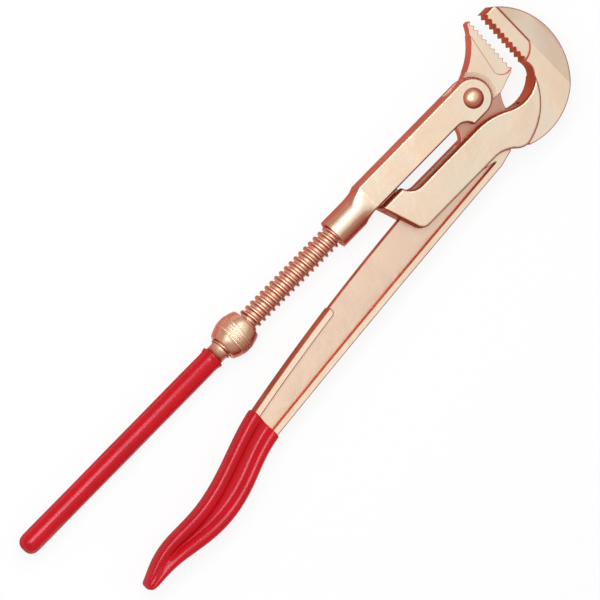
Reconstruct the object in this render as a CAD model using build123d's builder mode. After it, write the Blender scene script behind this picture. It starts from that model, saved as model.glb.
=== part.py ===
from build123d import *
import os
from math import radians, sqrt, tan

# A two-handled pipe wrench, in millimetres. X runs along the threaded rod towards the jaws,
# Y from the hook lever's arm towards the rod, and Z through the thickness of the tool.
# The origin is on the rod's axis, midway between the two rows of teeth.

# Fits and running play
thread_fit = 0.08  # radial play of the yoke and the nut on the rod
pin_fit = 0.03  # radial play of the foot pin and the rivet
side_play = 0.3  # play on each side of a tongue in its slot
edge_play = 0.5  # radial play between the yoke's round end and the jaw's step

# Jaws and their teeth
jaw_gap = 8.0  # between the tooth tips on the rod's axis, as the jaws stand
face_lean = 2.0  # degrees that both rows of teeth lean away from the rod's normal
tooth_pitch = 3.6
tooth_count = 10
tooth_depth = 1.7
tooth_land = 0.3  # flat left on each tooth's tip
tooth_rake = 0.35  # share of the pitch taken by a tooth's steep flank

# Threaded rod and its grip
rod_d = 14.0
neck_d = 11.6
core_d = 10.0  # the rod under its dipped coat
thread_length = 130.5  # from the foot pin back to the end of the thread
neck_length = 6.0
rod_grip_length = 156.5
rod_nose = 5.4  # rounding of the rod grip's far end
rod_coat = 1.5
rod_lip = 0.9  # the thick rim where the dipped coat ends
rod_lip_length = 4.0
rod_end_coat = 2.5  # coat past the end of the rod
fork_depth = 8.8  # from the foot pin to the bottom of the rod's slot
lead_chamfer = 0.8

# Adjusting nut
nut_d = 23.8
nut_length = 19.5
nut_back_d = 18.0
nut_front_d = 19.6
nut_back_off = 1.5  # thread showing behind the nut
nut_swell = 9.6  # from the nut's back face to its fattest point

# Foot pin
pin_d = 6.0
pin_inset = 0.3  # how far the pin's ends sit inside the rod's round
lug_t = 5.6
lug_play = 0.2
lug_r = 5.8
lug_spread = 1.0  # how much wider each side of the lug is at its foot

# Yoke
pin_to_rivet = 75.8
tube_reach = 37.0  # from the foot pin back to the sleeve's open end
tube_length = 18.0
tube_wall = 2.5
blend_length = 10.5
cheek_t = 4.95
web_t = 3.1
yoke_drop = 6.4  # the yoke's straight lower edge below the rod's axis
yoke_round = 1.2
rivet_drop = 1.2
notch_back = 17.9  # from the rivet back to the start of the notch under the yoke
notch_run = 8.0
web_back = 10.0  # from the rivet back to the end of the yoke's top wall
slot_back = 17.0  # from the foot pin back to the end of the yoke's slot
bore_back = 24.0  # from the rivet back to the end of the yoke's bore
slot_roof = 6.0  # the slot's top above the rod's axis

# Rivet
rivet_d = 8.0
rivet_head_d = 12.4
rivet_head_h = 3.0
rivet_tail_h = 2.0

# Moving jaw
rivet_setback = 29.4  # from the moving teeth back to the rivet
jaw_t = 14.0
tongue_t = 9.0
jaw_top = 31.0
jaw_tip_width = 2.4
jaw_back_sag = 4.2
jaw_eye_inset = 0.8  # how far the tongue's eye stays inside the yoke's round end
jaw_step_run = 3.1  # radial width of the sloped step round the yoke's end
jaw_chin_run = 2.0  # from the lowest tooth back to the jaw's chin
jaw_chin_drop = 1.5
jaw_heel_run = 12.1  # from the chin back to the heel of the jaw
jaw_heel_drop = 4.0
jaw_heel_length = 8.0
jaw_strip_t = 10.4  # the toothed strip, milled thinner than the jaw
jaw_strip_width = 9.3  # at its lower end
jaw_strip_top = 4.8  # its width at the jaw's top
jaw_strip_rise = 5.0
jaw_strip_sag = 2.6
tongue_front = 9.8  # from the rivet forward to the tongue's front corner
tongue_waist = 1.5  # inward curve of the tongue's front edge
tongue_back = 25.5  # from the rivet back to the tongue's rear end
tongue_shoulder = 18.4  # from the rivet back to the top of the tongue's rear curve
tongue_shoulder_drop = 6.2
tongue_engage = 11.5  # how deep the tongue stands in the arm
tongue_land = 1.2  # how far below the arm's top edge the tongue's rear curve ends

# Hook lever: head, throat, arm and foot
hook_top = 28.4
head_r = 41.7
head_back = 17.8  # from the hook's teeth back to the centre of the round head
head_fall = 4.8
head_t = 18.0
rim_t = 9.0
ridge_run = 9.7  # from the teeth to the ridge where the head starts to thin
hook_strip_t = 15.8
hook_strip_rise = 6.5  # how much the strip's lower end climbs towards the ridge
hook_strip_sag = 1.6
hook_crown = 2.0  # rounding of the hook's top edges
arm_t = 24.0
arm_play = 2.4  # between the yoke's round end and the arm
arm_floor = 4.2  # metal under the slot
floor_play = 3.7
throat_run = 27.5  # from the teeth back to where the throat leaves the arm
throat_lip = 5.6  # that point's depth below the arm's top edge
throat_corner_run = 2.2  # from the teeth back to the throat's inner corner
throat_corner_drop = 2.4
arm_crest_back = 11.8  # from the rivet back to where the arm's top edge turns down
arm_sweep = 5.2  # bulge of the arm's front edge on the head
lobe_run = 32.3  # from the teeth back to the arm's lowest point
lobe_drop = 8.3
lobe_slope_run = 7.5
lobe_slope_drop = 5.2
lobe_start_run = 12.5
slot_front = 19.5  # from the rivet forward to the end of the arm's slot
slot_rear = 5.5  # from the foot pin forward to the slot's rear end
foot_play = 1.2  # between the rod and the foot's top
foot_back = 7.5
foot_front = 9.0
foot_fillet = 9.2
foot_lean = 19.0  # degrees that the foot's rear edge leans
foot_corner = 6.0
arm_round = 1.5  # rounding of the arm's outline on both faces

# Hook lever: handle bar, as distance behind the foot pin, depth of its middle and height
bar_root_run = -4.0
bar_root_drop = 33.0
bar_root_height = 24.8
bar_mid_run = 70.0
bar_mid_drop = 39.6
bar_mid_height = 23.4
mouth_run = 142.0
mouth_drop = 48.3
mouth_height = 19.0
knee_run = 174.0
knee_drop = 58.2
knee_height = 19.2
belly_run = 209.0
belly_drop = 64.5
belly_height = 15.8
waist_run = 239.0
waist_drop = 62.9
waist_height = 9.8
tip_run = 254.5
tip_drop = 66.4
tip_height = 3.6
tip_fall = 0.55  # slope of the handle's upper edge where it meets the tip
bar_t = 13.0
bar_web_t = 6.6
flange_w = 4.0
flange_run = 69.0  # from the foot pin back to the start of the upper flange
flange_corner = 2.4  # rounding of the upper flange's front end
bar_toe_run = 61.2  # from the foot pin forward to the lower corner of the bar's toe
bar_toe_rise = 4.1
bar_toe_slope_run = 10.0
bar_toe_slope_rise = 2.6
hook_coat = 1.8
coat_round = 3.0

# Places worked out from the sizes above
rod_r = rod_d / 2
bore_r = rod_r + thread_fit
hook_x = jaw_gap / 2
moving_x = -jaw_gap / 2
rivet_x = moving_x - rivet_setback
rivet_y = -rivet_drop
pin_x = rivet_x - pin_to_rivet
lean = tan(radians(face_lean))
face_length = tooth_count * tooth_pitch
slot_w = tongue_t + 2 * side_play
yoke_t = slot_w + 2 * cheek_t
yoke_top = bore_r + web_t
boss_r = yoke_top - rivet_y
boss_bottom = rivet_y - boss_r
arm_top = boss_bottom - arm_play
tongue_bottom = arm_top - tongue_engage
slot_floor = tongue_bottom - floor_play
arm_bottom = slot_floor - arm_floor
foot_top = -rod_r - foot_play
shoulder_x = pin_x - thread_length
rod_mouth_x = shoulder_x - neck_length
rod_end_x = rod_mouth_x - rod_grip_length
through = 2 * arm_t  # long enough for a cut through any piece


def tooth_row(top, into):
    """Points of a row of teeth, from the top tooth down; into is the side the metal is on."""
    points = []
    for i in range(tooth_count):
        start = top - i * tooth_pitch
        points.append((0, start))
        points.append((0, start - tooth_land))
        points.append((into * tooth_depth, start - tooth_land - tooth_rake * tooth_pitch))
    points.append((0, top - face_length))
    points.append((-into * tooth_depth, top - face_length))
    points.append((-into * tooth_depth, top))
    return points


def face_plane(x):
    """A plane whose Y axis runs along the row of teeth that crosses the rod's axis at x."""
    return Plane(origin=(x, 0, 0), x_dir=(1, -lean, 0), z_dir=(0, 0, 1))


def face_point(x, y):
    """A point at height y on the row of teeth that crosses the rod's axis at x."""
    return (x + y * lean, y)


def handle_points(stations, side, margin):
    """Points along the upper (side 1) or lower (side -1) edge of the handle bar."""
    return [(pin_x - run, side * (height / 2 + margin) - drop) for run, drop, height in stations]


def bar_edge(side, margin):
    """The gently curved edge of the bar between the foot and the grip's mouth."""
    return ThreePointArc(*handle_points(bar_stations, side, margin))


def grip_edge(side, margin, stations):
    """The S-shaped edge of the bar under the grip, smooth with the bar's edge."""
    start = ThreePointArc(*handle_points(bar_stations, side, margin), mode=Mode.PRIVATE) % 1
    tip_way = (-1, -tip_fall if side > 0 else 0)
    return Spline(handle_points(stations, side, margin), tangents=(start, tip_way))


def handle_tip(margin):
    """The rounded end between the two edges of the S-shaped grip."""
    upper = handle_points(grip_stations, 1, margin)[-1]
    lower = handle_points(grip_stations, -1, margin)[-1]
    nose = (pin_x - tip_run - tip_height / 2 - margin, -tip_drop)
    return ThreePointArc(upper, nose, lower)


def toe_corner(margin):
    """The lower front corner of the bar, under the arm."""
    return (pin_x + bar_toe_run, handle_points(bar_stations, -1, margin)[0][1] + bar_toe_rise)


bar_stations = [
    (bar_root_run, bar_root_drop, bar_root_height),
    (bar_mid_run, bar_mid_drop, bar_mid_height),
    (mouth_run, mouth_drop, mouth_height),
]
grip_stations = [
    (mouth_run, mouth_drop, mouth_height),
    (knee_run, knee_drop, knee_height),
    (belly_run, belly_drop, belly_height),
    (waist_run, waist_drop, waist_height),
    (tip_run, tip_drop, tip_height),
]

# Threaded rod: handle core, neck, threaded length and the fork for the foot's lug
with BuildPart() as threaded_rod:
    with BuildSketch(Plane.XY):
        with BuildLine():
            Polyline(
                (rod_end_x + rod_end_coat, 0),
                (rod_end_x + rod_end_coat, core_d / 2),
                (rod_mouth_x, core_d / 2),
                (rod_mouth_x, neck_d / 2),
                (shoulder_x - (rod_d - neck_d) / 2, neck_d / 2),
                (shoulder_x, rod_r),
                (pin_x + rod_r, rod_r),
                (pin_x + rod_r, 0),
                close=True,
            )
        make_face()
    revolve(axis=Axis.X)
    with BuildSketch(Plane.XY):
        with Locations((pin_x + rod_r, 0)):
            Rectangle(2 * rod_r, 4 * rod_r)
        with Locations((pin_x, 0)):
            Circle(rod_r, mode=Mode.SUBTRACT)
    extrude(amount=through, both=True, mode=Mode.SUBTRACT)
    with BuildSketch(Plane.XY):
        with Locations((pin_x - fork_depth, 0)):
            Rectangle(fork_depth + 2 * rod_r, 4 * rod_r, align=(Align.MIN, Align.CENTER))
    extrude(amount=lug_t / 2 + lug_play, both=True, mode=Mode.SUBTRACT)
    with Locations((pin_x, 0, rod_r)):
        Hole(pin_d / 2 + pin_fit)
threaded_rod.part.label = "threaded_rod"

# Rod grip: the dipped coat, with a thick rim at its mouth and a rounded far end
with BuildPart() as rod_grip:
    coat_r = core_d / 2 + rod_coat
    with BuildSketch(Plane.XY):
        with BuildLine():
            Line((rod_end_x, 0), (rod_end_x, coat_r - rod_nose))
            RadiusArc((rod_end_x, coat_r - rod_nose), (rod_end_x + rod_nose, coat_r), rod_nose)
            Line((rod_end_x + rod_nose, coat_r), (rod_mouth_x - rod_lip_length, coat_r))
            Spline(
                (rod_mouth_x - rod_lip_length, coat_r),
                (rod_mouth_x, coat_r + rod_lip),
                tangents=((1, 0), (1, 0)),
            )
            Polyline(
                (rod_mouth_x, coat_r + rod_lip),
                (rod_mouth_x, core_d / 2),
                (rod_end_x + rod_end_coat, core_d / 2),
                (rod_end_x + rod_end_coat, 0),
                (rod_end_x, 0),
            )
        make_face()
    revolve(axis=Axis.X)
rod_grip.part.label = "rod_grip"

# Adjusting nut: a barrel that runs on the thread
with BuildPart() as adjusting_nut:
    nut_x = shoulder_x + nut_back_off
    with BuildSketch(Plane.XY):
        with BuildLine():
            Line((nut_x, bore_r), (nut_x, nut_back_d / 2))
            ThreePointArc(
                (nut_x, nut_back_d / 2),
                (nut_x + nut_swell, nut_d / 2),
                (nut_x + nut_length, nut_front_d / 2),
            )
            Polyline(
                (nut_x + nut_length, nut_front_d / 2),
                (nut_x + nut_length, bore_r),
                (nut_x, bore_r),
            )
        make_face()
    revolve(axis=Axis.X)
    chamfer(adjusting_nut.edges().filter_by(GeomType.CIRCLE).group_by(SortBy.RADIUS)[0], lead_chamfer)
adjusting_nut.part.label = "adjusting_nut"

# Foot pin: the hinge between the rod and the hook lever, inside the yoke
with BuildPart() as foot_pin:
    with Locations((pin_x, 0, 0)):
        Cylinder(pin_d / 2, 2 * (sqrt(rod_r**2 - (pin_d / 2) ** 2) - pin_inset))
foot_pin.part.label = "foot_pin"

# Yoke: a sleeve on the rod that widens into a forked channel with a round end
with BuildPart() as yoke:
    tube_end_x = pin_x - tube_reach
    tube_root_x = tube_end_x + tube_length
    blend_end_x = tube_root_x + blend_length
    notch_x = rivet_x - notch_back
    with BuildSketch(Plane.XY):
        with BuildLine():
            Line((blend_end_x, -yoke_drop), (notch_x, -yoke_drop))
            TangentArc((notch_x, -yoke_drop), (notch_x + notch_run, boss_bottom), tangent=(1, 0))
            Line((notch_x + notch_run, boss_bottom), (rivet_x, boss_bottom))
            ThreePointArc((rivet_x, boss_bottom), (rivet_x + boss_r, rivet_y), (rivet_x, yoke_top))
            Polyline((rivet_x, yoke_top), (blend_end_x, yoke_top), (blend_end_x, -yoke_drop))
        make_face()
    extrude(amount=yoke_t / 2, both=True)
    for outline in (yoke.edges().group_by(Axis.Z)[0], yoke.edges().group_by(Axis.Z)[-1]):
        fillet(outline.sort_by(Axis.X)[1:], yoke_round)
    with BuildSketch(Plane.YZ.offset(tube_end_x)):
        Circle(bore_r + tube_wall)
    extrude(amount=tube_length)
    with BuildSketch(Plane.YZ.offset(tube_root_x)):
        Circle(bore_r + tube_wall)
    with BuildSketch(Plane.YZ.offset(blend_end_x)):
        with Locations(((yoke_top - yoke_drop) / 2, 0)):
            RectangleRounded(yoke_top + yoke_drop, yoke_t, yoke_round)
    loft()
    with BuildSketch(Plane.YZ.offset(tube_end_x)):
        Circle(bore_r)
    extrude(amount=rivet_x - bore_back - tube_end_x, mode=Mode.SUBTRACT)
    with BuildSketch(Plane.XY):
        with BuildLine():
            Polyline(
                (pin_x - slot_back, boss_bottom - boss_r),
                (pin_x - slot_back, slot_roof),
                (rivet_x - web_back, slot_roof),
                (rivet_x - web_back, yoke_top + boss_r),
                (rivet_x + 2 * boss_r, yoke_top + boss_r),
                (rivet_x + 2 * boss_r, boss_bottom - boss_r),
                close=True,
            )
        make_face()
    extrude(amount=slot_w / 2, both=True, mode=Mode.SUBTRACT)
    with Locations((rivet_x, rivet_y, yoke_t / 2)):
        Hole(rivet_d / 2 + pin_fit)
yoke.part.label = "yoke"

# Jaw rivet: a shank with a domed head, and a lower dome where its tail is closed
with BuildPart() as jaw_rivet:
    rim_x = rivet_x + rivet_head_d / 2
    with BuildSketch(Plane.XZ.offset(-rivet_y)):
        with BuildLine():
            head_top = (rivet_x, yoke_t / 2 + rivet_head_h)
            tail_top = (rivet_x, -yoke_t / 2 - rivet_tail_h)
            Line(tail_top, head_top)
            TangentArc(head_top, (rim_x, yoke_t / 2), tangent=(1, 0))
            Polyline(
                (rim_x, yoke_t / 2),
                (rivet_x + rivet_d / 2, yoke_t / 2),
                (rivet_x + rivet_d / 2, -yoke_t / 2),
                (rim_x, -yoke_t / 2),
            )
            TangentArc(tail_top, (rim_x, -yoke_t / 2), tangent=(1, 0))
        make_face()
    revolve(axis=Axis((rivet_x, rivet_y, 0), (0, 0, 1)))
jaw_rivet.part.label = "jaw_rivet"

# Moving jaw: a toothed head and a thinner tongue that slides in the hook lever's arm
with BuildPart() as moving_jaw:
    eye_r = boss_r - jaw_eye_inset
    top_right = face_point(moving_x, jaw_top)
    low_tooth = face_point(moving_x, jaw_top - face_length)
    chin = (low_tooth[0] - jaw_chin_run, low_tooth[1] - jaw_chin_drop)
    heel = (chin[0] - jaw_heel_run, chin[1] - jaw_heel_drop)
    with BuildSketch(Plane.XY):
        with BuildLine():
            Polyline(low_tooth, top_right, (top_right[0] - jaw_tip_width, jaw_top))
            SagittaArc(
                (top_right[0] - jaw_tip_width, jaw_top), (rivet_x, rivet_y + eye_r), jaw_back_sag
            )
            Polyline(
                (rivet_x, rivet_y + eye_r),
                (rivet_x, heel[1]),
                (heel[0] - jaw_heel_length, heel[1]),
                heel,
                chin,
                low_tooth,
            )
        make_face()
    extrude(amount=jaw_t / 2, both=True)
    with BuildSketch(Plane.XZ.offset(-rivet_y)):
        step_r = boss_r + edge_play
        with BuildLine():
            Polyline(
                (rivet_x, tongue_t / 2),
                (rivet_x + step_r, tongue_t / 2),
                (rivet_x + step_r + jaw_step_run, jaw_t / 2),
                (rivet_x + step_r + jaw_step_run, through),
                (rivet_x, through),
                close=True,
            )
        make_face()
        mirror(about=Plane.XZ)
    revolve(axis=Axis((rivet_x, rivet_y, 0), (0, 0, 1)), mode=Mode.SUBTRACT)
    with BuildSketch(Plane.XY):
        shoulder = (rivet_x - tongue_shoulder, rivet_y - tongue_shoulder_drop)
        rear = (rivet_x - tongue_back, arm_top - tongue_land)
        front = (rivet_x + tongue_front, tongue_bottom)
        with BuildLine():
            TangentArc(shoulder, rear, tangent=(0, -1))
            Polyline(rear, (rear[0], tongue_bottom), front)
            SagittaArc(front, heel, tongue_waist)
            Polyline(heel, (rivet_x, heel[1]), (rivet_x, rivet_y + eye_r))
            JernArc((rivet_x, rivet_y + eye_r), (-1, 0), eye_r, 90)
            Line((rivet_x - eye_r, rivet_y), shoulder)
        make_face()
    extrude(amount=tongue_t / 2, both=True)
    with BuildSketch(face_plane(moving_x)):
        with BuildLine():
            Polyline(tooth_row(jaw_top, -1), close=True)
        make_face()
    extrude(amount=through, both=True, mode=Mode.SUBTRACT)
    strip_top = (top_right[0] - jaw_strip_top, jaw_top)
    strip_low = (low_tooth[0] - jaw_strip_width, low_tooth[1] + jaw_strip_rise)
    for side in (1, -1):
        with BuildSketch(Plane.XY.offset(side * jaw_strip_t / 2)):
            with BuildLine():
                Polyline(
                    (low_tooth[0] + jaw_gap, low_tooth[1]),
                    (hook_x, strip_top[1]),
                    strip_top,
                    strip_low,
                )
                SagittaArc(strip_low, low_tooth, -jaw_strip_sag)
                Line(low_tooth, (low_tooth[0] + jaw_gap, low_tooth[1]))
            make_face()
        extrude(amount=side * through, mode=Mode.SUBTRACT)
    with Locations((rivet_x, rivet_y, tongue_t / 2)):
        Hole(rivet_d / 2 + pin_fit)
moving_jaw.part.label = "moving_jaw"

# Hook lever: handle bar, arm with its foot and slot, and the round toothed head
with BuildPart() as hook_lever:
    low_hook = face_point(hook_x, hook_top - face_length)
    high_hook = face_point(hook_x, hook_top)
    head_x = hook_x - head_back
    rim_top_x = head_x + sqrt(head_r**2 - (hook_top + head_fall) ** 2)
    bend = (rivet_x - arm_crest_back, arm_top)
    throat = (hook_x - throat_run, arm_top - throat_lip)
    corner = (hook_x - throat_corner_run, arm_top - throat_corner_drop)
    lobe = (hook_x - lobe_run, arm_bottom - lobe_drop)
    lobe_slope = (lobe[0] - lobe_slope_run, arm_bottom - lobe_slope_drop)
    lobe_start = (lobe_slope[0] - lobe_start_run, arm_bottom)
    foot_x = pin_x - foot_back
    foot_toe_x = foot_x + (foot_top - arm_bottom) * tan(radians(foot_lean))

    with BuildSketch(Plane.XY):
        toe = toe_corner(0)
        with BuildLine():
            top_edge = bar_edge(1, 0)
            grip_edge(1, 0, grip_stations)
            handle_tip(0)
            grip_edge(-1, 0, grip_stations)
            low_edge = bar_edge(-1, 0)
            Polyline(
                low_edge @ 0,
                toe,
                (toe[0] + bar_toe_slope_run, toe[1] + bar_toe_slope_rise),
                (toe[0] + bar_toe_slope_run, slot_floor),
                top_edge @ 0,
            )
        make_face()
    extrude(amount=bar_t / 2, both=True)
    for side in (1, -1):
        with BuildSketch(Plane.XY.offset(side * bar_web_t / 2)):
            with BuildLine():
                flange_edge = bar_edge(1, -flange_w)
                upper_edge = grip_edge(1, -flange_w, grip_stations[:-1])
                lower_edge = grip_edge(-1, -flange_w, grip_stations[:-1])
                Line(upper_edge @ 1, lower_edge @ 1)
                rim_edge = bar_edge(-1, -flange_w)
                Polyline(rim_edge @ 0, toe_corner(-flange_w), flange_edge @ 0)
            make_face()
            with Locations((pin_x - flange_run, -bar_mid_drop)):
                Rectangle(flange_run, bar_mid_drop, align=Align.MIN)
        extrude(amount=side * through, mode=Mode.SUBTRACT)
    flange_inner = bar_mid_height / 2 - flange_w - bar_mid_drop
    flange_end = (pin_x - flange_run, flange_inner, 0)
    fillet(hook_lever.edges().filter_by(Axis.Z).sort_by_distance(flange_end)[:2], flange_corner)

    with BuildSketch(Plane.XY) as arm:
        with BuildLine():
            Line((foot_x, foot_top), (pin_x + foot_front, foot_top))
            TangentArc(
                (pin_x + foot_front + foot_fillet, arm_top), (pin_x + foot_front, foot_top), tangent=(-1, 0)
            )
            Line((pin_x + foot_front + foot_fillet, arm_top), bend)
            crest = TangentArc(bend, throat, tangent=(1, 0))
            TangentArc(throat, corner, tangent=crest % 1)
            SagittaArc(corner, lobe, arm_sweep)
            slope = TangentArc(lobe_start, lobe_slope, tangent=(1, 0))
            TangentArc(lobe_slope, lobe, tangent=slope % 1)
            Polyline(lobe_start, (foot_toe_x, arm_bottom), (foot_x, foot_top))
        make_face()
        fillet(arm.vertices().sort_by_distance((foot_toe_x, arm_bottom))[0], foot_corner)
    extrude(amount=arm_t / 2, both=True)
    arm_outlines = hook_lever.edges().group_by(Axis.Z)
    fillet(arm_outlines[0] + arm_outlines[-1], arm_round)

    with BuildSketch(Plane.XY):
        rim_foot = (lobe[0], -head_fall - sqrt(head_r**2 - (lobe[0] - head_x) ** 2))
        with BuildLine():
            Polyline(low_hook, high_hook, (rim_top_x, hook_top))
            ThreePointArc((rim_top_x, hook_top), (head_x + head_r, -head_fall), rim_foot)
            Polyline(rim_foot, (lobe[0], slot_floor), throat)
            floor = TangentArc(throat, corner, tangent=crest % 1)
            TangentArc(corner, low_hook, tangent=floor % 1)
        make_face()
    extrude(amount=head_t / 2, both=True)

    ridge_x = hook_x + ridge_run
    rim_x = head_x + head_r
    with BuildSketch(Plane.XZ):
        with BuildLine():
            Polyline((ridge_x, head_t / 2), (rim_x, rim_t / 2), (rim_x, head_t / 2), close=True)
        make_face()
        mirror(about=Plane.XZ)
    extrude(amount=2 * head_r, both=True, mode=Mode.SUBTRACT)
    for side in (1, -1):
        with BuildSketch(Plane.XY.offset(side * hook_strip_t / 2)):
            with BuildLine():
                Polyline(
                    (low_hook[0] - jaw_gap, low_hook[1]),
                    (low_hook[0] - jaw_gap, hook_top + hook_strip_rise),
                    (ridge_x, hook_top + hook_strip_rise),
                    (ridge_x, low_hook[1] + hook_strip_rise),
                )
                SagittaArc((ridge_x, low_hook[1] + hook_strip_rise), low_hook, hook_strip_sag)
                Line(low_hook, (low_hook[0] - jaw_gap, low_hook[1]))
            make_face()
        extrude(amount=side * through, mode=Mode.SUBTRACT)
    with BuildSketch(face_plane(hook_x)):
        with BuildLine():
            Polyline(tooth_row(hook_top, 1), close=True)
        make_face()
    extrude(amount=through, both=True, mode=Mode.SUBTRACT)
    crown = hook_lever.edges().filter_by(Axis.X).sort_by_distance((hook_x + ridge_run / 2, hook_top, 0))
    fillet(crown[:2], hook_crown)

    with BuildSketch(Plane.XY):
        with BuildLine():
            Polyline(
                (pin_x + slot_rear, slot_floor),
                (rivet_x + slot_front, slot_floor),
                (rivet_x + slot_front, foot_top),
                (pin_x + slot_rear, foot_top),
                close=True,
            )
        make_face()
    extrude(amount=slot_w / 2, both=True, mode=Mode.SUBTRACT)

    with BuildSketch(Plane.XY):
        with BuildLine():
            Polyline(
                (pin_x + lug_r, 0),
                (pin_x + lug_r, foot_top - arm_floor),
                (pin_x - lug_r - lug_spread, foot_top - arm_floor),
                (pin_x - lug_r, 0),
            )
            ThreePointArc((pin_x - lug_r, 0), (pin_x, lug_r), (pin_x + lug_r, 0))
        make_face()
    extrude(amount=lug_t / 2, both=True)
    with Locations((pin_x, 0, lug_t / 2)):
        Hole(pin_d / 2 + pin_fit)
hook_lever.part.label = "hook_lever"

# Hook grip: the dipped coat over the S-shaped end of the handle bar, with a valley between its ridges
with BuildPart() as hook_grip:
    with BuildSketch(Plane.XY):
        with BuildLine():
            upper_edge = grip_edge(1, hook_coat, grip_stations)
            handle_tip(hook_coat)
            lower_edge = grip_edge(-1, hook_coat, grip_stations)
            Line(lower_edge @ 0, upper_edge @ 0)
        make_face()
    extrude(amount=bar_t / 2 + hook_coat, both=True)
    for outline in (hook_grip.edges().group_by(Axis.Z)[0], hook_grip.edges().group_by(Axis.Z)[-1]):
        fillet(outline.sort_by(Axis.X)[:-1], coat_round)
    for side in (1, -1):
        with BuildSketch(Plane.XY.offset(side * (bar_web_t / 2 + hook_coat))):
            with BuildLine():
                upper_ridge = grip_edge(1, -flange_w - hook_coat, grip_stations[:3])
                lower_ridge = grip_edge(-1, -flange_w - hook_coat, grip_stations[:3])
                Line(upper_ridge @ 0, lower_ridge @ 0)
                Polyline(upper_ridge @ 1, (pin_x - waist_run, -waist_drop), lower_ridge @ 1)
            make_face()
        extrude(amount=side * through, mode=Mode.SUBTRACT)
    add(hook_lever.part, mode=Mode.SUBTRACT)
hook_grip.part.label = "hook_grip"

os.makedirs("parts", exist_ok=True)
export_step(threaded_rod.part, "parts/threaded_rod.step")
export_step(rod_grip.part, "parts/rod_grip.step")
export_step(adjusting_nut.part, "parts/adjusting_nut.step")
export_step(foot_pin.part, "parts/foot_pin.step")
export_step(yoke.part, "parts/yoke.step")
export_step(jaw_rivet.part, "parts/jaw_rivet.step")
export_step(moving_jaw.part, "parts/moving_jaw.step")
export_step(hook_lever.part, "parts/hook_lever.step")
export_step(hook_grip.part, "parts/hook_grip.step")
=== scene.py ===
# %% [markdown]
# # A two-handled pipe wrench
# This lesson dresses a CAD model of a pipe wrench. The CAD solids give every size and every joint.
# Blender adds what a lathe, a forge and a dip tank leave on the real tool: a screw thread, a knurl,
# two soft dipped grips, and metal that is bright where it was ground and red-brown where it was not.

# %% Load the frame
import math

import bmesh
import bpy
from mathutils import Matrix, Vector
from mathutils.bvhtree import BVHTree


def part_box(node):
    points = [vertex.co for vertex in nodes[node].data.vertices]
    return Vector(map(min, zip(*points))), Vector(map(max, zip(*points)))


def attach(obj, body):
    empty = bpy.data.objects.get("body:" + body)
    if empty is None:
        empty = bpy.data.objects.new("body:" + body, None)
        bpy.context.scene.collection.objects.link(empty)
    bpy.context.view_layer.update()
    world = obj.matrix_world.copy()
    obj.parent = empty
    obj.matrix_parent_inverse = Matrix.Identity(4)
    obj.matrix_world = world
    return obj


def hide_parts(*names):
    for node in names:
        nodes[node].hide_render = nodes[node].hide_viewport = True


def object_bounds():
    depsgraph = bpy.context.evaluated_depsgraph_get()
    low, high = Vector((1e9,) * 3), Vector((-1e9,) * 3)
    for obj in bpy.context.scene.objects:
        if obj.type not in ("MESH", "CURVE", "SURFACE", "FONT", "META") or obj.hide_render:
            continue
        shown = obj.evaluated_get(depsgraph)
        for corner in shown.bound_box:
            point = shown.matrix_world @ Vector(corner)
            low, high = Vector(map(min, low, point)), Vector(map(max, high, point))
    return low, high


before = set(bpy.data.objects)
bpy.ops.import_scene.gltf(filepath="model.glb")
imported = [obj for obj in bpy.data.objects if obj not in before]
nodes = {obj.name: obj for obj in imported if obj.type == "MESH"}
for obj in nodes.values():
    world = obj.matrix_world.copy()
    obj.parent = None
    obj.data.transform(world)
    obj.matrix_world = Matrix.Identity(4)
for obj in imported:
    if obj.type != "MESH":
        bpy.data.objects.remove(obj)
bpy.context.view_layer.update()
MM = 0.001
print("CAD nodes:", sorted(nodes))

# %% [markdown]
# ## The camera first
# The tool lies flat, and the photographer stood almost straight above it, a little to its left.
# A long lens far away keeps the two handles parallel, as they are in the picture.
# Two angles turn it: one says to which side the view leans, the other how the frame is rolled.

# %% Camera
view_tilt = math.radians(13.25)
lean_angle = math.radians(-45.5)
roll_angle = math.radians(-44.81)
aim = Vector((-186.5, -13.0, 0)) * MM
camera_far = 6.0
frame_width = 344.75 * MM

lean_side = Vector((math.cos(lean_angle), math.sin(lean_angle), 0))
along = Vector((math.cos(roll_angle), math.sin(roll_angle), 0))
toward_camera = Vector((0, 0, math.cos(view_tilt))) - lean_side * math.sin(view_tilt)
camera_right = (along - toward_camera * along.dot(toward_camera)).normalized()
camera_up = toward_camera.cross(camera_right)
camera_data = bpy.data.cameras.new("lens")
camera_data.sensor_width = 36  # millimetres, as a lens is
camera_data.lens = camera_data.sensor_width * camera_far / frame_width
camera = bpy.data.objects.new("camera", camera_data)
bpy.context.collection.objects.link(camera)
camera.matrix_world = (
    Matrix.Translation(aim + toward_camera * camera_far)
    @ Matrix((camera_right, camera_up, toward_camera)).transposed().to_4x4()
)
bpy.context.scene.camera = camera
print("camera lens", round(camera_data.lens, 1), "mm")

# %% [markdown]
# ## Small helpers for pieces
# A new piece has to sit where its CAD solid sits. Instead of repeating the solid's numbers, a probe
# shoots a ray at the CAD mesh and reads the surface there. Three tools shape a bmesh: a square cut, a
# lathe and a melt. Each piece ends as an object at the origin, so its place is in its vertices, as a
# CAD node's is.

# %% Probe, shape and finish helpers
depsgraph = bpy.context.evaluated_depsgraph_get()
outside = 300 * MM  # rays start here, clear of the tool on every side


def surface_of(node):
    """A tree of the CAD node's triangles that rays can be shot at."""
    return BVHTree.FromObject(nodes[node], depsgraph)


def hit_y(tree, x, side):
    """The height at which a ray along Y, from above or below, meets the node at x."""
    start = Vector((x, side * outside, 0))
    place = tree.ray_cast(start, Vector((0, -side, 0)))[0]
    return place.y


def hit_z(tree, x, y):
    """The height at which a ray straight down meets the node at x and y, or 0 where it misses."""
    place = tree.ray_cast(Vector((x, y, outside)), Vector((0, 0, -1)))[0]
    return place.z if place else 0.0


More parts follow.
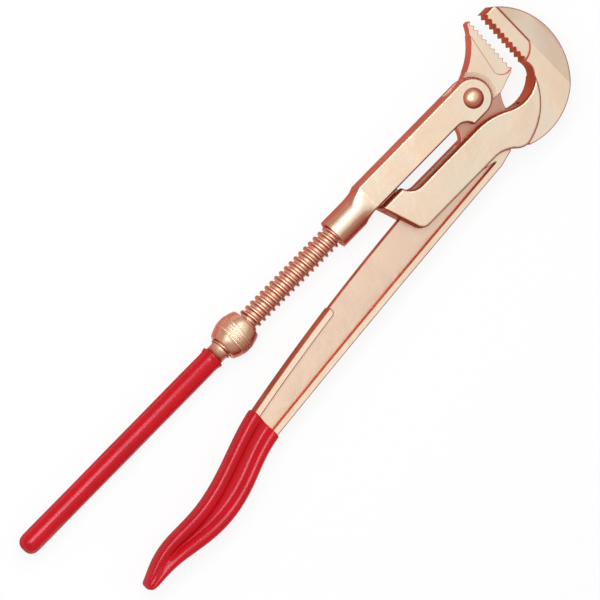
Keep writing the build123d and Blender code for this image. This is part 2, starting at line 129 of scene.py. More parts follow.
def cut_square(bm, x, side):
    """Cut a bmesh square across at x, drop what lies on that side of the cut and close the end."""
    cut = bmesh.ops.bisect_plane(
        bm,
        geom=bm.verts[:] + bm.edges[:] + bm.faces[:],
        plane_co=(x, 0, 0),
        plane_no=(side, 0, 0),
        clear_outer=True,
    )
    rim = [e for e in cut["geom_cut"] if isinstance(e, bmesh.types.BMEdge)]
    bmesh.ops.triangle_fill(bm, use_beauty=True, edges=rim)


def lathe(bm, points, steps, closed):
    """Spin a line of (x, radius) points once about the X axis, after closing it to a loop if asked."""
    line = [bm.verts.new((x, 0, radius)) for x, radius in points]
    ends = line[1:] + line[:1] if closed else line[1:]
    edges = [bm.edges.new(pair) for pair in zip(line, ends)]
    bmesh.ops.spin(
        bm,
        geom=line + edges,
        cent=(0, 0, 0),
        axis=(1, 0, 0),
        angle=2 * math.pi,
        steps=steps,
        use_merge=True,
    )


def melt(piece):
    """Soften a piece with a subdivision surface."""
    soft = piece.modifiers.new("melt", "SUBSURF")
    soft.levels = soft.render_levels = 2


def finish_piece(name, bm, body, stands_for, sharp=35):
    """Turn a bmesh into a named piece that rides on a body; edges sharper than that angle stay crisp."""
    bmesh.ops.recalc_face_normals(bm, faces=bm.faces)
    for face in bm.faces:
        face.smooth = True
    mesh = bpy.data.meshes.new(name)
    bm.to_mesh(mesh)
    bm.free()
    mesh.set_sharp_from_angle(angle=math.radians(sharp))
    piece = bpy.data.objects.new(name, mesh)
    bpy.context.collection.objects.link(piece)
    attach(piece, body)
    if stands_for:
        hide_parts(stands_for)
    print(name, "has", len(mesh.polygons), "faces")
    return piece


# %% [markdown]
# ## The threaded rod
# The second handle is a round bar with a coarse thread on which the nut runs. The CAD solid is the
# smooth bar at the thread's crest. A thread could be a bump in the material, but its teeth stand out
# against the background, so it has to be real. One tooth's profile is spun about the rod, and each step
# of the spin also moves it along: after a full turn it has moved one pitch, and the turns join up.

# %% Cut the thread
pitch = 4.0 * MM
crest_r = 7.0 * MM
root_r = 5.35 * MM
thread_start = -239.7 * MM
thread_end = -131.0 * MM
steps_per_turn = 40
root_round = 0.15 * MM
crest_round = 0.12 * MM
tooth = [  # millimetres along the rod, radius
    (0.00, root_r),
    (1.20, root_r),
    (1.45, root_r + root_round),
    (2.10, crest_r - crest_round),
    (2.25, crest_r),
    (2.95, crest_r),
    (3.10, crest_r - crest_round),
    (3.75, root_r + root_round),
    (4.00, root_r),
]

bm = bmesh.new()
turns = math.ceil((thread_end - thread_start) / pitch) + 2
first = thread_start - 1.3 * pitch  # the spin starts outside the cuts
profile = [bm.verts.new((first + reach * MM, 0, radius)) for reach, radius in tooth]
edges = [bm.edges.new(pair) for pair in zip(profile, profile[1:])]
bmesh.ops.spin(
    bm,
    geom=profile + edges,
    cent=(0, 0, 0),
    axis=(1, 0, 0),
    dvec=(pitch / steps_per_turn, 0, 0),
    angle=2 * math.pi * turns,
    steps=turns * steps_per_turn,
)
bmesh.ops.remove_doubles(bm, verts=bm.verts, dist=0.01 * MM)
cut_square(bm, thread_start, -1)
cut_square(bm, thread_end, 1)
rod_screw = finish_piece("rod_screw", bm, "rod", "threaded_rod", sharp=50)

# %% [markdown]
# ## The rod's plain ends
# In front of the thread the rod is a fork that the foot pin goes through, and behind it a plain
# neck runs on into the grip. Those shapes are right in the CAD mesh, so its loose triangles are merged,
# it is cut square in two places, and only its two ends are kept.

# %% Keep the fork and the neck
bm = bmesh.new()
bm.from_mesh(nodes["threaded_rod"].data)
bmesh.ops.remove_doubles(bm, verts=bm.verts, dist=0.002 * MM)
tail = bm.copy()
past_shoulder = 0.02 * MM  # so that the cut misses the flat shoulder at the thread's end
cut_square(bm, thread_end - pitch, -1)
cut_square(tail, thread_start - past_shoulder, 1)
rod_fork = finish_piece("rod_fork", bm, "rod", None)
rod_neck = finish_piece("rod_neck", tail, "rod", None)

# %% [markdown]
# ## The adjusting nut
# The nut is a turned barrel with a knurled belt that the thumb rolls. A knurl is pressed in by a tool
# with pointed teeth, so it is rows of small pyramids. Here the barrel is spun from a profile that is
# read off the CAD solid. Every second ring of the belt is turned by half a step, so that its faces
# lean like diamonds, and each face is poked up into a pyramid.

# %% Turn and knurl the nut
nut_tree = surface_of("adjusting_nut")
nut_lo, nut_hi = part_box("adjusting_nut")
bore_r = 7.1 * MM
nut_steps = 84
belt_from = nut_lo.x + 5.6 * MM
belt_to = nut_lo.x + 13.4 * MM
belt_rows = 9
knurl_height = 0.20 * MM
rim_round = 0.4 * MM

belt_x = [belt_from + (belt_to - belt_from) * k / belt_rows for k in range(belt_rows + 1)]
back_x = [nut_lo.x + d * MM for d in (0.35, 1.0, 2.0, 3.2, 4.4)]
front_x = [nut_hi.x - d * MM for d in (4.8, 3.6, 2.4, 1.2, 0.35)]
barrel = [(x, hit_y(nut_tree, x, 1)) for x in back_x + belt_x + front_x]
loop = [(nut_lo.x, bore_r), (nut_lo.x, barrel[0][1] - rim_round)]
loop += barrel
loop += [(nut_hi.x, barrel[-1][1] - rim_round), (nut_hi.x, bore_r)]

bm = bmesh.new()
lathe(bm, loop, nut_steps, closed=True)
bmesh.ops.remove_doubles(bm, verts=bm.verts, dist=0.002 * MM)
half_step = Matrix.Rotation(math.pi / nut_steps, 3, "X")
for x in belt_x[1::2]:
    ring = [v for v in bm.verts if abs(v.co.x - x) < 0.01 * MM]
    bmesh.ops.rotate(bm, verts=ring, cent=(0, 0, 0), matrix=half_step)
bmesh.ops.recalc_face_normals(bm, faces=bm.faces)
belt = []
for face in bm.faces:
    middle = face.calc_center_median()
    on_outside = middle.yz.length > bore_r * 1.2 and face.normal.yz.length > 0.5
    if belt_from < middle.x < belt_to and on_outside:
        belt.append(face)
bmesh.ops.poke(bm, faces=belt, offset=knurl_height, use_relative_offset=False)
nut_barrel = finish_piece("nut_barrel", bm, "nut", "adjusting_nut", sharp=28)

# %% [markdown]
# ## The rod's dipped grip
# The plain end of the rod was dipped in liquid vinyl, which sets as a soft skin with a rounded nose
# and a thick rolled rim. The outline is probed from the CAD solid and spun. A subdivision surface then
# melts it, and small swellings along the length keep it from looking machined.

# %% Dip the rod
rod_grip_tree = surface_of("rod_grip")
grip_lo, grip_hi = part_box("rod_grip")
neck_r = 5.7 * MM
grip_steps = 32
lip_round = 0.7 * MM
mouth_depth = 1.5 * MM
swelling = 0.06 * MM
nose = [grip_lo.x + d * MM for d in (0.25, 1.0, 2.2, 4.0, 6.5)]
shank = [grip_lo.x + d * MM for d in (12, 30, 50, 70, 90, 110, 130, 145)]
rim = [grip_hi.x - d * MM for d in (5.0, 3.4, 2.2, 1.2, 0.5, 0.12)]


def dipped_r(x):
    """Radius of the dipped skin at x: the CAD solid's, with slow swellings of a few hundredths."""
    wave = math.sin(x / MM * 0.11) + 0.6 * math.sin(x / MM * 0.043 + 1.3)
    return hit_y(rod_grip_tree, x, 1) + wave * swelling


bm = bmesh.new()
outline = [(grip_lo.x, 0.0)] + [(x, dipped_r(x)) for x in nose + shank + rim]
outline += [(grip_hi.x, outline[-1][1] - lip_round), (grip_hi.x, neck_r), (grip_hi.x - mouth_depth, neck_r)]
lathe(bm, outline, grip_steps, closed=False)
bmesh.ops.remove_doubles(bm, verts=bm.verts, dist=0.01 * MM)
mouth_ring = [e for e in bm.edges if e.is_boundary]
bmesh.ops.contextual_create(bm, geom=mouth_ring)
rod_skin = finish_piece("rod_grip_skin", bm, "rod", "rod_grip", sharp=60)
melt(rod_skin)

# %% [markdown]
# ## The hooked handle's dipped grip
# The second grip is dipped over a bar with a flange along each edge, so its skin has a valley between
# two soft ridges, and they run together at the tip. A section across the bar is one ring of vertices.
# The ring is extruded from station to station, and at each its height is read off the CAD solid. The
# valley is never deeper than the bar underneath allows, so no metal shows through.

# %% Dip the hooked handle
hook_tree = surface_of("hook_grip")
bar_tree = surface_of("hook_lever")
hook_lo, hook_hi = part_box("hook_grip")
skin_z = hook_hi.z
valley_depth = 3.1 * MM
thin_skin = 0.7 * MM
ridge_w = 6.4 * MM
no_valley_h = 7 * MM  # the valley fades in from here
valley_fade = 9 * MM


def skin_section(x, pinch=1.0):
    """The ring of points across the grip at x: its front from bottom to top, then its back down again."""
    top = hit_y(hook_tree, x, 1)
    low = hit_y(hook_tree, x, -1)
    height = top - low
    middle = (top + low) / 2
    w = min(ridge_w, height * 0.36)
    full = skin_z * min(1.0, 0.76 + height / (40 * MM))
    room = max(0.0, full - hit_z(bar_tree, x, middle) - thin_skin)
    open_share = min(1.0, max(0.0, (height - no_valley_h) / valley_fade))
    dip = full - min(valley_depth, room) * open_share
    half = [  # across the bar, up from its middle plane
        (low, full * 0.42),
        (low + w * 0.10, full * 0.86),
        (low + w * 0.50, full),
        (low + w * 0.98, full * 0.93),
        (low + w * 1.32, dip),
        (middle, dip - 0.1 * MM),
        (top - w * 1.32, dip),
        (top - w * 0.98, full * 0.93),
        (top - w * 0.50, full),
        (top - w * 0.10, full * 0.86),
        (top, full * 0.42),
    ]
    ring = half + [(y, -z) for y, z in reversed(half)]
    return [Vector((x, middle + (y - middle) * pinch, z * pinch)) for y, z in ring]


mouth_to_tip = hook_hi.x - hook_lo.x
mouth_shares = (0.0, 0.004, 0.02, 0.08, 0.16)
middle_shares = (0.25, 0.34, 0.43, 0.52, 0.61, 0.70)
tip_shares = (0.78, 0.85, 0.91, 0.955, 0.98, 0.994)
just_inside = 0.01 * MM  # so that the first ray still meets the solid
stations = [
    hook_hi.x - just_inside - share * mouth_to_tip for share in mouth_shares + middle_shares + tip_shares
]
bm = bmesh.new()
ring = [bm.verts.new(place) for place in skin_section(stations[0], 0.97)]
loop = [bm.edges.new(pair) for pair in zip(ring, ring[1:] + ring[:1])]
bm.faces.new(ring)
for x in stations[1:]:
    grown = bmesh.ops.extrude_edge_only(bm, edges=loop)["geom"]
    loop = [e for e in grown if isinstance(e, bmesh.types.BMEdge)]
    fresh = [v for v in grown if isinstance(v, bmesh.types.BMVert)]
    for vert, place in zip(fresh, skin_section(x)):
        vert.co = place
bmesh.ops.contextual_create(bm, geom=loop)
hook_skin = finish_piece("hook_grip_skin", bm, "hook", "hook_grip", sharp=70)
melt(hook_skin)

# %% [markdown]
# ## Node helpers
# Materials are small graphs. `put` adds a node and sets its sockets by name, and `wire` joins two
# sockets, so a graph reads as a list of sentences. A shader node group is a graph with named sockets
# that several materials share, as a workshop shares one way of grinding.

# %% Put and wire


def put(tree, kind, settings=None, **sockets):
    """Add a node, set its properties and the values of its named input sockets."""
    node = tree.nodes.new(kind)
    for key, value in (settings or {}).items():
        setattr(node, key, value)
    for key, value in sockets.items():
        node.inputs[key.replace("_", " ")].default_value = value
    return node


def wire(tree, source, target):
    """Join an output socket to an input socket."""
    tree.links.new(source, target)


def ramp(tree, source, low, high):
    """Stretch a value so that low becomes 0 and high becomes 1, with soft shoulders."""
    node = put(tree, "ShaderNodeMapRange", {"interpolation_type": "SMOOTHSTEP"})
    node.inputs["From Min"].default_value = low
    node.inputs["From Max"].default_value = high
    wire(tree, source, node.inputs["Value"])
    return node.outputs["Result"]


def mix_colour(tree, factor, first, second):
    """Mix two colours, each a socket or a plain colour."""
    node = put(tree, "ShaderNodeMix", {"data_type": "RGBA"})
    wire(tree, factor, node.inputs["Factor"])
    for value, socket in ((first, node.inputs[6]), (second, node.inputs[7])):
        if isinstance(value, tuple):
            socket.default_value = (*value, 1)
        else:
            wire(tree, value, socket)
    return node.outputs[2]


def maths(tree, operation, first, second):
    """A Math node on two values, each a socket or a number."""
    node = put(tree, "ShaderNodeMath", {"operation": operation})
    for value, socket in ((first, node.inputs[0]), (second, node.inputs[1])):
        if isinstance(value, (int, float)):
            socket.default_value = value
        else:
            wire(tree, value, socket)
    return node.outputs[0]


def new_group(name, inputs, outputs):
    """An empty shader node group with its named sockets."""
    tree = bpy.data.node_groups.new(name, "ShaderNodeTree")
    for socket_name, kind in inputs:
        tree.interface.new_socket(socket_name, in_out="INPUT", socket_type=kind)
    for socket_name, kind in outputs:
        tree.interface.new_socket(socket_name, in_out="OUTPUT", socket_type=kind)
    return tree, tree.nodes.new("NodeGroupInput"), tree.nodes.new("NodeGroupOutput")


def bend_of(tree, rounded):
    """How far a rounded normal leans from the true one: 0 on a flat face, more near an edge."""
    true_normal = put(tree, "ShaderNodeNewGeometry")
    likeness = put(tree, "ShaderNodeVectorMath", {"operation": "DOT_PRODUCT"})
    wire(tree, rounded, likeness.inputs[0])
    wire(tree, true_normal.outputs["Normal"], likeness.inputs[1])
    return maths(tree, "SUBTRACT", 1.0, likeness.outputs["Value"])


FLOAT, VECTOR = "NodeSocketFloat", "NodeSocketVector"
print("node helpers ready")

# %% [markdown]
# ## Group: ground faces, forge skin and painted shade
# The pieces lie flat on a grinder, so the two broad faces are bright, while the walls keep the red-brown
# skin of the forge, and rounded flanks between them are bare copper. The same mask is also painted shade:
# a face is painted redder and darker the further it turns away from the top. What tells them apart is
# which way a face points on the piece itself, so the group reads the normal in the object's own axes. The
# Bevel node rounds that normal near a corner, which gives a thin painted shade line along each edge. One
# input tilts the mask towards the upper side, which paints a round piece lighter above and darker below,
# as light falls from that side. A little noise frays the borders. Of the three outputs, Bare says where
# the skin is gone or the painted shade ends, Ground where the grinder has been, and the last where the
# painted shade line along the edges lies.

# %% Ground faces group
tree, gin, gout = new_group(
    "Ground faces and painted shade",
    [(name, FLOAT) for name in ("Skin Until", "Bare From", "Ground From", "Edge Reach", "Lean")],
    [(name, FLOAT) for name in ("Bare", "Ground", "Line")],
)
coords = put(tree, "ShaderNodeTexCoord")
corner = put(tree, "ShaderNodeBevel", {"samples": 16})
wire(tree, gin.outputs["Edge Reach"], corner.inputs["Radius"])
to_own_axes = {"vector_type": "NORMAL", "convert_from": "WORLD", "convert_to": "OBJECT"}
own_axes = put(tree, "ShaderNodeVectorTransform", to_own_axes)
wire(tree, corner.outputs["Normal"], own_axes.inputs[0])
axes = put(tree, "ShaderNodeSeparateXYZ")
wire(tree, own_axes.outputs[0], axes.inputs[0])
flat = put(tree, "ShaderNodeMath", {"operation": "ABSOLUTE"})
wire(tree, axes.outputs["Z"], flat.inputs[0])
fray = put(tree, "ShaderNodeTexNoise", Scale=420.0, Detail=3.0, Roughness=0.6)
wire(tree, coords.outputs["Object"], fray.inputs["Vector"])
frayed = maths(tree, "MULTIPLY", maths(tree, "SUBTRACT", fray.outputs[0], 0.5), 0.06)
# Painted light and shade: faces turned to +Y are painted lighter, faces turned to -Y darker.
leaning = maths(tree, "MULTIPLY", axes.outputs["Y"], gin.outputs["Lean"])
facing = maths(tree, "ADD", maths(tree, "ADD", flat.outputs[0], leaning), frayed)
for low, high, name in (("Skin Until", "Bare From", "Bare"), ("Bare From", "Ground From", "Ground")):
    border = put(tree, "ShaderNodeMapRange", {"interpolation_type": "SMOOTHSTEP"})
    wire(tree, facing, border.inputs["Value"])
    wire(tree, gin.outputs[low], border.inputs["From Min"])
    wire(tree, gin.outputs[high], border.inputs["From Max"])
    wire(tree, border.outputs["Result"], gout.inputs[name])
# Painted shade: a thin line along each edge, where the rounded normal bends from the true one.
wire(tree, ramp(tree, bend_of(tree, corner.outputs["Normal"]), 0.015, 0.08), gout.inputs["Line"])
ground_faces = tree
print("group", tree.name)

# %% [markdown]
# ## Group: worn edges
# Corners that rub in a tool box are polished first. The Bevel node looks at the surface around a point
# and returns a rounded normal there. Where that differs from the true normal, an edge is near.

# %% Worn edges group
tree, gin, gout = new_group("Worn edges", [("Reach", FLOAT)], [("Wear", FLOAT), ("Round", VECTOR)])
rounded = put(tree, "ShaderNodeBevel", {"samples": 6})
wire(tree, gin.outputs["Reach"], rounded.inputs["Radius"])
near_edge = ramp(tree, bend_of(tree, rounded.outputs["Normal"]), 0.02, 0.22)
coords = put(tree, "ShaderNodeTexCoord")
patches = put(tree, "ShaderNodeTexNoise", Scale=240.0, Detail=4.0, Roughness=0.65)
wire(tree, coords.outputs["Object"], patches.inputs["Vector"])
rubbed = ramp(tree, patches.outputs[0], 0.36, 0.62)
wire(tree, maths(tree, "MULTIPLY", near_edge, rubbed), gout.inputs["Wear"])
wire(tree, rounded.outputs["Normal"], gout.inputs["Round"])
worn_edges = tree
print("group", tree.name)

# %% [markdown]
# ## Group: cloudy grain
# No metal is one even colour. Slow clouds a few centimetres across shift its tint, and a fine grain of
# about half a millimetre roughens it. Both come from the same group, each with its own size.

# %% Cloudy grain group
tree, gin, gout = new_group(
    "Cloudy grain",
    [("Cloud Scale", FLOAT), ("Grain Scale", FLOAT)],
    [("Cloud", FLOAT), ("Grain", FLOAT)],
)
coords = put(tree, "ShaderNodeTexCoord")
cloud = put(tree, "ShaderNodeTexNoise", Detail=3.0, Roughness=0.5, Distortion=0.4)
wire(tree, coords.outputs["Object"], cloud.inputs["Vector"])
wire(tree, gin.outputs["Cloud Scale"], cloud.inputs["Scale"])
grain = put(tree, "ShaderNodeTexNoise", Detail=2.0, Roughness=0.6)
wire(tree, coords.outputs["Object"], grain.inputs["Vector"])
wire(tree, gin.outputs["Grain Scale"], grain.inputs["Scale"])
wire(tree, ramp(tree, cloud.outputs[0], 0.30, 0.70), gout.inputs["Cloud"])
wire(tree, grain.outputs[0], gout.inputs["Grain"])
cloudy_grain = tree
print("group", tree.name)

# %% [markdown]
# ## Group: turning marks
# A lathe leaves fine rings round the axis of a turned piece. For the rod and the nut that axis is the
# rod itself, the X axis, so the rings are bands of noise stretched round it: noise that is squeezed
# along X and hardly changes across.

# %% Turning marks group
tree, gin, gout = new_group("Turning marks", [("Rings", FLOAT)], [("Ring", FLOAT), ("Radius", FLOAT)])
coords = put(tree, "ShaderNodeTexCoord")
axes = put(tree, "ShaderNodeSeparateXYZ")
wire(tree, coords.outputs["Object"], axes.inputs[0])
ring_noise = put(tree, "ShaderNodeTexNoise", {"noise_dimensions": "1D"}, Detail=4.0, Roughness=0.7)
wire(tree, axes.outputs["X"], ring_noise.inputs["W"])
wire(tree, gin.outputs["Rings"], ring_noise.inputs["Scale"])
wire(tree, ring_noise.outputs[0], gout.inputs["Ring"])
across = put(tree, "ShaderNodeVectorMath", {"operation": "MULTIPLY"})
wire(tree, coords.outputs["Object"], across.inputs[0])
across.inputs[1].default_value = (0, 1, 1)
length = put(tree, "ShaderNodeVectorMath", {"operation": "LENGTH"})
wire(tree, across.outputs[0], length.inputs[0])
wire(tree, length.outputs["Value"], gout.inputs["Radius"])
turning_marks = tree
print("group", tree.name)

# %% [markdown]
# ## Forged bronze
# The hook lever, the yoke and the jaw are forged in a pale copper-coloured bronze. Their ground faces
# are almost cream, recessed faces are a warmer tan, and the walls are red: deep red-brown from the forge
# on the lever, lighter on the yoke and the jaw, which were pickled. The reds and the copper flanks are
# partly that skin and partly painted shade, as a face is painted redder the further it turns from the
# top, with a painted shade line along the edges. The jaw's tongue carries painted shade, and the pocket
# wall round the rivet painted light. The colours are mixed by how a face points, which the group says,
# and by how far it stands from the middle plane.

# %% Forged bronze material
CREAM = (0.86, 0.73, 0.57)
WARM_CREAM = (0.83, 0.63, 0.47)
TAN = (0.79, 0.585, 0.45)
COPPER = (0.78, 0.36, 0.22)
SKIN = (0.50, 0.105, 0.072)
OXIDE = (0.34, 0.080, 0.055)
FORGE_RED = (SKIN, OXIDE)
PICKLED_RED = ((0.66, 0.19, 0.15), (0.52, 0.15, 0.115))
# Painted shade: the jaw's tongue lies in the shadow between the yoke's cheeks, so it is painted darker.
TONGUE = (0.57, 0.31, 0.23)
POLISHED = (0.95, 0.80, 0.66)
EDGE_GLINT = (0.80, 0.42, 0.34)


def start_material(name):
    """A new material with a Principled shader, ready for its nodes."""
    material = bpy.data.materials.new(name)
    material.use_nodes = True
    tree = material.node_tree
    return material, tree, tree.nodes["Principled BSDF"]


def use_group(tree, group, **sockets):
    """Add a shared node group and set its inputs."""
    return put(tree, "ShaderNodeGroup", {"node_tree": group}, **sockets)


def add_bump(tree, shader, height, depth, base_normal=None):
    """A Bump node of that depth in metres, on top of another normal if there is one."""
    bump = put(tree, "ShaderNodeBump", Strength=1.0, Distance=depth)
    wire(tree, height, bump.inputs["Height"])
    if base_normal:
        wire(tree, base_normal, bump.inputs["Normal"])
    wire(tree, bump.outputs["Normal"], shader.inputs["Normal"])


def forged_bronze(
    name,
    recess_z,
    recess_colour,
    walls,
    edge_reach,
    edge_line,
    ground_from,
    lean=0.0,
    rough_from=0.32,
    pocket=None,
):
    """Ground faces in one colour, faces nearer the middle than recess_z in another, walls in two reds.

    A pocket is a centre and a radius: the walls inside it were milled, and are painted light in cream.
    The walls' two reds and the edge line are partly forge skin and partly painted shade.
    """
    material, tree, shader = start_material(name)
    coords = put(tree, "ShaderNodeTexCoord")
    axes = put(tree, "ShaderNodeSeparateXYZ")
    wire(tree, coords.outputs["Object"], axes.inputs[0])
    depth = put(tree, "ShaderNodeMath", {"operation": "ABSOLUTE"})
    wire(tree, axes.outputs["Z"], depth.inputs[0])
    stands_out = ramp(tree, depth.outputs[0], recess_z - 0.2 * MM, recess_z + 0.2 * MM)
    grain = use_group(tree, cloudy_grain, Cloud_Scale=38.0, Grain_Scale=1900.0)
    facing = use_group(
        tree,
        ground_faces,
        Skin_Until=0.68,
        Bare_From=0.90,
        Ground_From=ground_from,
        Edge_Reach=edge_reach,
        Lean=lean,
    )
    wear = use_group(tree, worn_edges, Reach=0.55 * MM)
    face = mix_colour(tree, grain.outputs["Cloud"], CREAM, WARM_CREAM)
    face = mix_colour(tree, stands_out, recess_colour, face)
    # Partly forge skin, partly painted shade: faces turning from the top go from cream through copper to
    # red.
    skin = mix_colour(tree, grain.outputs["Cloud"], *walls)
    flank = mix_colour(tree, facing.outputs["Bare"], skin, COPPER)
    if pocket:
        centre, reach = pocket
        away = put(tree, "ShaderNodeVectorMath", {"operation": "SUBTRACT"})
        wire(tree, coords.outputs["Object"], away.inputs[0])
        away.inputs[1].default_value = centre
        flatten = put(tree, "ShaderNodeVectorMath", {"operation": "MULTIPLY"})
        wire(tree, away.outputs[0], flatten.inputs[0])
        flatten.inputs[1].default_value = (1, 1, 0)
        distance = put(tree, "ShaderNodeVectorMath", {"operation": "LENGTH"})
        wire(tree, flatten.outputs[0], distance.inputs[0])
        within = ramp(tree, distance.outputs["Value"], reach + 0.2 * MM, reach)
        milled = maths(tree, "MULTIPLY", stands_out, within)
        # Painted light: the pocket wall round the rivet is painted the cream of the faces.
        flank = mix_colour(tree, milled, flank, CREAM)
    metal = mix_colour(tree, facing.outputs["Ground"], flank, face)
    # Painted shade: a thin line of the wall red along every edge.
    metal = mix_colour(tree, maths(tree, "MULTIPLY", facing.outputs["Line"], edge_line), metal, skin)
    worn = mix_colour(tree, maths(tree, "MULTIPLY", wear.outputs["Wear"], 0.12), metal, POLISHED)
    wire(tree, worn, shader.inputs["Base Color"])
    rough = maths(tree, "ADD", rough_from, maths(tree, "MULTIPLY", grain.outputs["Cloud"], 0.08))
    rough = maths(tree, "SUBTRACT", rough, maths(tree, "MULTIPLY", wear.outputs["Wear"], 0.14))
    if pocket:
        rough = maths(tree, "MAXIMUM", rough, maths(tree, "MULTIPLY", milled, 0.75))
        dulled = maths(tree, "SUBTRACT", 1.0, maths(tree, "MULTIPLY", milled, 0.7))
        wire(tree, dulled, shader.inputs["Metallic"])
    wire(tree, rough, shader.inputs["Roughness"])
    shader.inputs["Metallic"].default_value = 1.0
    shader.inputs["Specular Tint"].default_value = (*EDGE_GLINT, 1)
    waves = maths(tree, "MULTIPLY", grain.outputs["Cloud"], 5.0)
    height = maths(tree, "ADD", waves, grain.outputs["Grain"])
    add_bump(tree, shader, height, 0.03 * MM, wear.outputs["Round"])
    print("material", name)
    return material


# Painted shade: each finish sets the strength of its painted edge shade line, and the yoke's tilt towards
# the upper side paints its sleeve lighter above and darker below.
lever_finish = forged_bronze(
    "forged_bronze_lever",
    recess_z=5.4 * MM,
    recess_colour=TAN,
    walls=FORGE_RED,
    edge_reach=1.6 * MM,
    edge_line=0.85,
    ground_from=0.945,
)
yoke_finish = forged_bronze(
    "forged_bronze_yoke",
    recess_z=1.0 * MM,
    recess_colour=CREAM,
    walls=PICKLED_RED,
    edge_reach=0.8 * MM,
    edge_line=0.30,
    ground_from=0.985,
    lean=0.22,
    rough_from=0.35,
)
rivet_lo, rivet_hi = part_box("jaw_rivet")
pocket_r = 15.2 * MM
jaw_finish = forged_bronze(
    "forged_bronze_jaw",
    recess_z=4.85 * MM,
    recess_colour=TONGUE,
    walls=PICKLED_RED,
    edge_reach=1.0 * MM,
    edge_line=0.70,
    ground_from=0.955,
    pocket=((rivet_lo + rivet_hi) / 2, pocket_r),
)

# %% [markdown]
# ## Turned bronze
# The nut and the rivet are turned from bar, so they shine a little more than the forgings and carry
# fine rings. Their round sides are painted shade, from bright on top through copper to dark red low down,
# lighter on the upper side, which the ground faces group gives with a wider range.

# %% Turned bronze and thread materials


def turned_bronze(name, top, flank, low, root=None, ring_depth=0.6, rough_from=0.30):
    """Painted shade: bright top, copper flank, dark red low down, with rings; root paints a thread's bottom
    darker.
    """
    material, tree, shader = start_material(name)
    grain = use_group(tree, cloudy_grain, Cloud_Scale=90.0, Grain_Scale=2400.0)
    facing = use_group(
        tree,
        ground_faces,
        Skin_Until=0.58,
        Bare_From=0.88,
        Ground_From=0.99,
        Edge_Reach=0.15 * MM,
        Lean=0.22,
    )
    marks = use_group(tree, turning_marks, Rings=1500.0)
    wear = use_group(tree, worn_edges, Reach=0.25 * MM)
    shade = tuple(0.86 * c for c in top)
    face = mix_colour(tree, marks.outputs["Ring"], shade, top)
    # Painted shade: a face goes from the top colour to the flank and low colours as it turns from the top.
    metal = mix_colour(tree, facing.outputs["Bare"], low, flank)
    metal = mix_colour(tree, facing.outputs["Ground"], metal, face)
    if root:
        # Painted shade in the bottom of the thread.
        in_root = ramp(tree, marks.outputs["Radius"], 6.6 * MM, 5.4 * MM)
        metal = mix_colour(tree, maths(tree, "MULTIPLY", in_root, 0.5), metal, root)
    worn = mix_colour(tree, maths(tree, "MULTIPLY", wear.outputs["Wear"], 0.45), metal, POLISHED)
    wire(tree, worn, shader.inputs["Base Color"])
    rough = maths(tree, "ADD", rough_from, maths(tree, "MULTIPLY", grain.outputs["Cloud"], 0.10))
    wire(tree, rough, shader.inputs["Roughness"])
    shader.inputs["Metallic"].default_value = 1.0
    rings = maths(tree, "MULTIPLY", marks.outputs["Ring"], ring_depth)
    height = maths(tree, "ADD", rings, grain.outputs["Grain"])
    add_bump(tree, shader, height, 0.02 * MM, wear.outputs["Round"])
    print("material", name)
    return material


# Painted shade in every turned finish: top, flank and low are lit and shaded copies of one bronze.
nut_finish = turned_bronze(
    "turned_bronze_nut", top=(0.96, 0.73, 0.53), flank=(0.86, 0.43, 0.27), low=(0.58, 0.14, 0.090)
)
rivet_finish = turned_bronze(
    "turned_bronze_rivet", top=(0.94, 0.62, 0.40), flank=(0.80, 0.29, 0.17), low=(0.45, 0.07, 0.050)
)
thread_finish = turned_bronze(
    "bronze_thread",
    top=(0.96, 0.74, 0.55),
    flank=(0.86, 0.48, 0.32),
    low=(0.58, 0.15, 0.10),
    root=(0.74, 0.36, 0.25),
    rough_from=0.44,
)
fork_finish = turned_bronze("bronze_fork", COPPER, SKIN, OXIDE, ring_depth=0.1)

# %% [markdown]
# ## Steel for the hidden pin
# The foot pin hides in the yoke. It is a plain ground steel pin, so it gets a quiet grey with a fine
# grain.

# %% Pin material
pin_finish, tree, shader = start_material("pin_steel_ground")
grain = use_group(tree, cloudy_grain, Cloud_Scale=120.0, Grain_Scale=2600.0)
steel = mix_colour(tree, grain.outputs["Cloud"], (0.50, 0.50, 0.51), (0.58, 0.58, 0.58))
wire(tree, steel, shader.inputs["Base Color"])
rough = maths(tree, "ADD", 0.28, maths(tree, "MULTIPLY", grain.outputs["Grain"], 0.12))
wire(tree, rough, shader.inputs["Roughness"])
shader.inputs["Metallic"].default_value = 1.0
print("material", pin_finish.name)

# %% [markdown]
# ## Red dip
# The grips are soft vinyl: a strong red body colour under a smooth skin that is almost glossy. A slow
# tint change shows that the skin varies in thickness, and a faint orange-peel bump softens highlights.
# The skin shines where it faces up and is matt down the sides, so the outlines stay deep red.

# %% Red dip material
dip_finish, tree, shader = start_material("red_dip_vinyl")
grain = use_group(tree, cloudy_grain, Cloud_Scale=55.0, Grain_Scale=180.0)
red = mix_colour(tree, grain.outputs["Cloud"], (0.56, 0.002, 0.006), (0.49, 0.002, 0.005))
wire(tree, red, shader.inputs["Base Color"])
facing = use_group(
    tree,
    ground_faces,
    Skin_Until=0.15,
    Bare_From=0.70,
    Ground_From=0.99,
    Edge_Reach=0.1 * MM,
    Lean=0.0,
)
matt, polish = 0.76, 0.60
rough = maths(tree, "SUBTRACT", matt, maths(tree, "MULTIPLY", facing.outputs["Bare"], polish))
rough = maths(tree, "ADD", rough, maths(tree, "MULTIPLY", grain.outputs["Cloud"], 0.05))
wire(tree, rough, shader.inputs["Roughness"])
shader.inputs["Specular IOR Level"].default_value = 0.38
shader.inputs["Specular Tint"].default_value = (1.0, 0.72, 0.90, 1)
add_bump(tree, shader, grain.outputs["Grain"], 0.004 * MM)
print("material", dip_finish.name)

# %% [markdown]
# ## Dress the pieces
# A CAD node keeps its own mesh and gets a material in its first slot. The new pieces get theirs the
# same way.

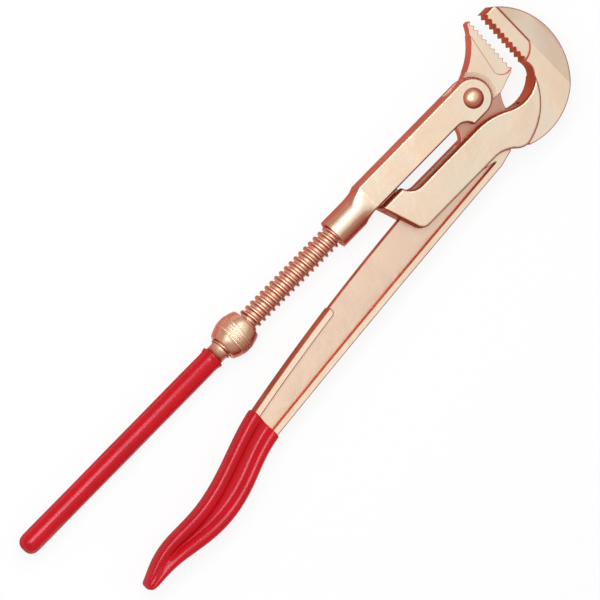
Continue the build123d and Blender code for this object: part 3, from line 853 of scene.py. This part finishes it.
# %% Assign the materials
finishes = {
    nodes["hook_lever"]: lever_finish,
    nodes["yoke"]: yoke_finish,
    nodes["moving_jaw"]: jaw_finish,
    nodes["jaw_rivet"]: rivet_finish,
    nodes["foot_pin"]: pin_finish,
    rod_screw: thread_finish,
    rod_fork: fork_finish,
    rod_neck: thread_finish,
    nut_barrel: nut_finish,
    rod_skin: dip_finish,
    hook_skin: dip_finish,
}
for piece, finish in finishes.items():
    piece.data.materials.clear()
    piece.data.materials.append(finish)
print(len(finishes), "pieces dressed")

# %% [markdown]
# ## Floor and light
# The tool lies on a plain white floor. Shiny metal shows its surroundings, so the light is what gives
# it shape. The flat faces mirror a wide panel, a long narrow strip along the tool draws the bright line
# down the round rod and the sleeve, and a small window over the grips gives their broader sheen. An even
# grey tent fills the rest. The floor glows for the camera and for reflections, so it stays white.

# %% Floor
bm = bmesh.new()
bmesh.ops.create_grid(bm, x_segments=1, y_segments=1, size=4.0)
below_tool = 0.05 * MM
bmesh.ops.translate(bm, verts=bm.verts, vec=(aim.x, aim.y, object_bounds()[0][2] - below_tool))
mesh = bpy.data.meshes.new("floor")
bm.to_mesh(mesh)
bm.free()
floor = bpy.data.objects.new("floor", mesh)
bpy.context.collection.objects.link(floor)

paper, tree, shader = start_material("white_paper")
shader.inputs["Base Color"].default_value = (0.93, 0.93, 0.93, 1)
shader.inputs["Roughness"].default_value = 0.9
shader.inputs["Specular IOR Level"].default_value = 0.1
glow = put(tree, "ShaderNodeEmission", Color=(1, 1, 1, 1), Strength=1.0)
rays = put(tree, "ShaderNodeLightPath")
seen = maths(tree, "MAXIMUM", rays.outputs["Is Camera Ray"], rays.outputs["Is Glossy Ray"])
seen = maths(tree, "MAXIMUM", seen, rays.outputs["Is Transmission Ray"])
blend = put(tree, "ShaderNodeMixShader")
wire(tree, maths(tree, "MULTIPLY", seen, 0.86), blend.inputs[0])
wire(tree, shader.outputs[0], blend.inputs[1])
wire(tree, glow.outputs[0], blend.inputs[2])
wire(tree, blend.outputs[0], tree.nodes["Material Output"].inputs["Surface"])
mesh.materials.append(paper)
print("floor at z =", round(mesh.vertices[0].co.z, 4))

# %% Lights


def soft_light(name, place, size_x, size_y, power):
    """A rectangular lamp that shines straight down."""
    lamp = bpy.data.lights.new(name, "AREA")
    lamp.shape = "RECTANGLE"
    lamp.size, lamp.size_y = size_x, size_y
    lamp.energy = power
    lamp_object = bpy.data.objects.new(name, lamp)
    lamp_object.location = place
    bpy.context.collection.objects.link(lamp_object)


soft_light("panel", (aim.x + 1.02, aim.y + 0.22, 1.2), size_x=3.0, size_y=1.7, power=5.6)
soft_light("strip", (aim.x, 0.56, 1.0), size_x=1.8, size_y=0.26, power=4.8)
soft_light("window", (aim.x - 0.14, 0.26, 1.0), size_x=0.36, size_y=0.42, power=3.2)

world = bpy.data.worlds.new("studio")
world.use_nodes = True
bpy.context.scene.world = world
tree = world.node_tree
sky = put(tree, "ShaderNodeTexCoord")
axes = put(tree, "ShaderNodeSeparateXYZ")
wire(tree, sky.outputs["Generated"], axes.inputs[0])
height = ramp(tree, axes.outputs["Z"], 0.05, 0.75)
tent = mix_colour(tree, height, (0.50, 0.50, 0.50), (0.52, 0.52, 0.52))
wire(tree, tent, tree.nodes["Background"].inputs["Color"])
bpy.context.scene.view_settings.view_transform = "Standard"
print("lights placed")
